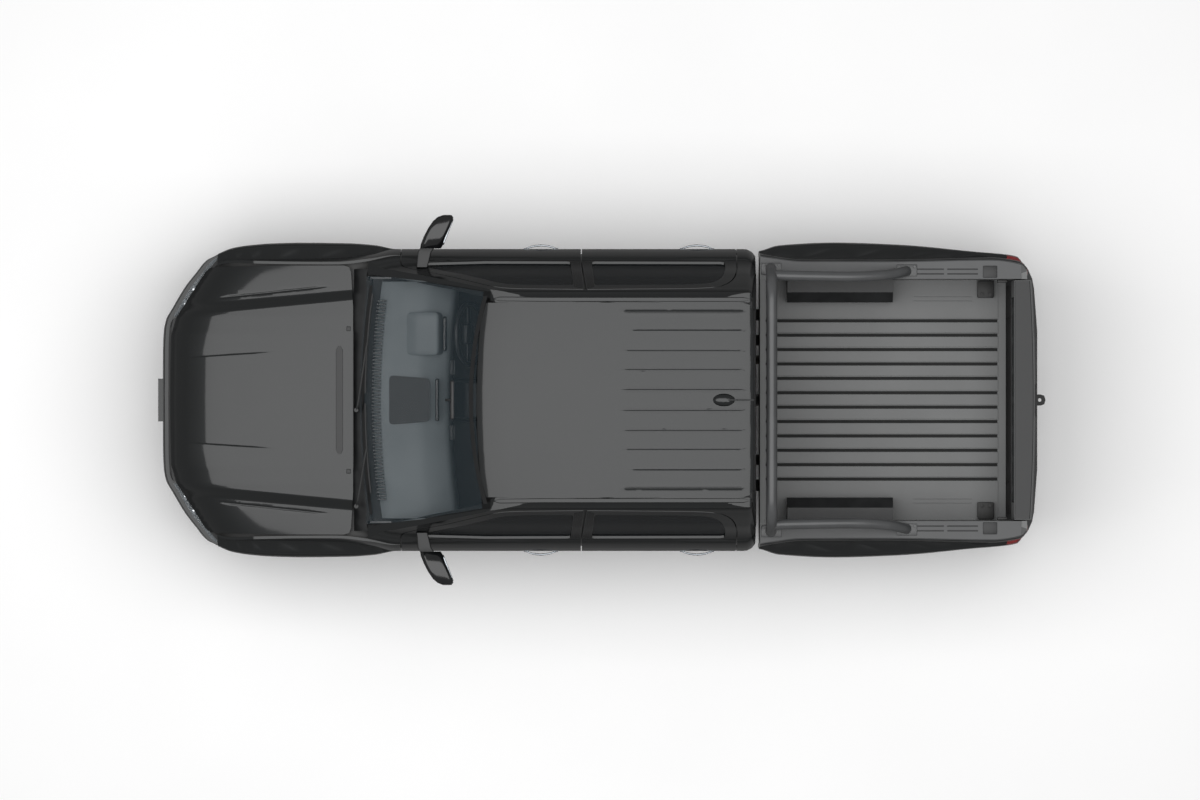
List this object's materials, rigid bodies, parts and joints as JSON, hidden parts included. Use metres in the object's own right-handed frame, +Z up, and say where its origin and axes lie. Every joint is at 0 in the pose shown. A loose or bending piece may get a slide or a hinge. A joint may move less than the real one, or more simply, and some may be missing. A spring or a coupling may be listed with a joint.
{
  "type": "pickup truck",
  "caption": "black crew-cab pickup truck with an open load bed and a sports bar",
  "frame": {"origin": "on the ground, under the middle of the overall box", "axes": "+X to the front of the truck, +Y to its left, +Z up"},
  "size_m": [5.404, 2.235, 1.9104],
  "materials": {
    "body_paint": "glossy black paint under clear coat",
    "tinted_glass": "tinted safety glass",
    "chassis_black": "matt black chassis paint",
    "black_plastic": "grained black plastic",
    "headlamp_lens": "clear moulded lens over bright reflectors",
    "tail_lamp_lens": "red moulded lens",
    "bed_liner": "satin dark grey paint",
    "cast_metal": "bare castings and heat-stained steel",
    "tyre_rubber": "matt tread rubber",
    "alloy": "painted cast alloy",
    "cabin_plastic": "soft-grain dark moulding",
    "seat_cloth": "woven dark cloth"
  },
  "bodies": {
    "root": {"cab_side_left": "body_paint", "cab_side_right": "body_paint", "fender_left": "body_paint", "fender_right": "body_paint", "bed_side_left": "body_paint", "bed_side_right": "body_paint", "roof": "body_paint", "front_bumper": "body_paint", "windscreen": "tinted_glass", "rear_screen": "tinted_glass", "cab_tub": "chassis_black", "ladder_frame": "chassis_black", "rear_axle": "chassis_black", "front_suspension": "chassis_black", "rear_bumper": "chassis_black", "grille": "black_plastic", "sports_bar": "black_plastic", "fuel_tank": "black_plastic", "headlamp_left": "headlamp_lens", "headlamp_right": "headlamp_lens", "tail_lamp_left": "tail_lamp_lens", "tail_lamp_right": "tail_lamp_lens", "bed_floor": "bed_liner", "powertrain": "cast_metal", "exhaust": "cast_metal", "spare_wheel": "tyre_rubber", "dashboard": "cabin_plastic", "front_seat_left": "seat_cloth", "front_seat_right": "seat_cloth", "rear_bench": "seat_cloth"},
    "hood": {"hood": "body_paint"},
    "tailgate": {"tailgate": "body_paint"},
    "steering_wheel": {"steering_wheel": "cabin_plastic"},
    "front_door_left": {"front_door_left": "body_paint", "front_door_glass_left": "tinted_glass", "mirror_left": "black_plastic"},
    "rear_door_left": {"rear_door_left": "body_paint", "rear_door_glass_left": "tinted_glass"},
    "knuckle_left": {"knuckle_left": "cast_metal"},
    "wheel_front_left": {"tyre_front_left": "tyre_rubber", "rim_front_left": "alloy"},
    "wheel_rear_left": {"tyre_rear_left": "tyre_rubber", "rim_rear_left": "alloy"},
    "front_door_right": {"front_door_right": "body_paint", "front_door_glass_right": "tinted_glass", "mirror_right": "black_plastic"},
    "rear_door_right": {"rear_door_right": "body_paint", "rear_door_glass_right": "tinted_glass"},
    "knuckle_right": {"knuckle_right": "cast_metal"},
    "wheel_front_right": {"tyre_front_right": "tyre_rubber", "rim_front_right": "alloy"},
    "wheel_rear_right": {"tyre_rear_right": "tyre_rubber", "rim_rear_right": "alloy"}
  },
  "joints": [
    {"name": "front_door_left_hinge", "type": "hinge", "parent": "root", "child": "front_door_left", "pos_m": [1.213, 0.9145, 0.9], "axis": [0, 0, -1], "range_deg": [0, 67]},
    {"name": "rear_door_left_hinge", "type": "hinge", "parent": "root", "child": "rear_door_left", "pos_m": [0.1245, 0.9145, 0.9], "axis": [0, 0, -1], "range_deg": [0, 67]},
    {"name": "front_door_right_hinge", "type": "hinge", "parent": "root", "child": "front_door_right", "pos_m": [1.213, -0.9145, 0.9], "axis": [0, 0, 1], "range_deg": [0, 67]},
    {"name": "rear_door_right_hinge", "type": "hinge", "parent": "root", "child": "rear_door_right", "pos_m": [0.1245, -0.9145, 0.9], "axis": [0, 0, 1], "range_deg": [0, 67]},
    {"name": "hood_hinge", "type": "hinge", "parent": "root", "child": "hood", "pos_m": [1.504, 0, 1.215], "axis": [0, -1, 0], "range_deg": [0, 50]},
    {"name": "tailgate_hinge", "type": "hinge", "parent": "root", "child": "tailgate", "pos_m": [-2.48, 0, 0.79], "axis": [0, -1, 0], "range_deg": [0, 90]},
    {"name": "steering_wheel_turn", "type": "hinge", "parent": "root", "child": "steering_wheel", "pos_m": [0.8, -0.4, 1.074], "axis": [-0.8988, 0, 0.4384], "range_deg": [-540, 540]},
    {"name": "steer_left", "type": "hinge", "parent": "root", "child": "knuckle_left", "pos_m": [1.831, 0.77, 0.38801], "axis": [0, 0, 1], "range_deg": [-32, 32]},
    {"name": "steer_right", "type": "hinge", "parent": "root", "child": "knuckle_right", "pos_m": [1.831, -0.77, 0.38801], "axis": [0, 0, 1], "range_deg": [-32, 32]},
    {"name": "wheel_front_left_spin", "type": "hinge", "parent": "knuckle_left", "child": "wheel_front_left", "pos_m": [1.831, 0.81, 0.38801], "axis": [0, 1, 0], "continuous": true},
    {"name": "wheel_rear_left_spin", "type": "hinge", "parent": "root", "child": "wheel_rear_left", "pos_m": [-1.439, 0.81, 0.38801], "axis": [0, 1, 0], "continuous": true},
    {"name": "wheel_front_right_spin", "type": "hinge", "parent": "knuckle_right", "child": "wheel_front_right", "pos_m": [1.831, -0.81, 0.38801], "axis": [0, 1, 0], "continuous": true},
    {"name": "wheel_rear_right_spin", "type": "hinge", "parent": "root", "child": "wheel_rear_right", "pos_m": [-1.439, -0.81, 0.38801], "axis": [0, 1, 0], "continuous": true}
  ],
  "couplings": [
    {"joint": "steer_left", "follows": "steering_wheel_turn", "ratio": 0.059259},
    {"joint": "steer_right", "follows": "steering_wheel_turn", "ratio": 0.059259}
  ]
}
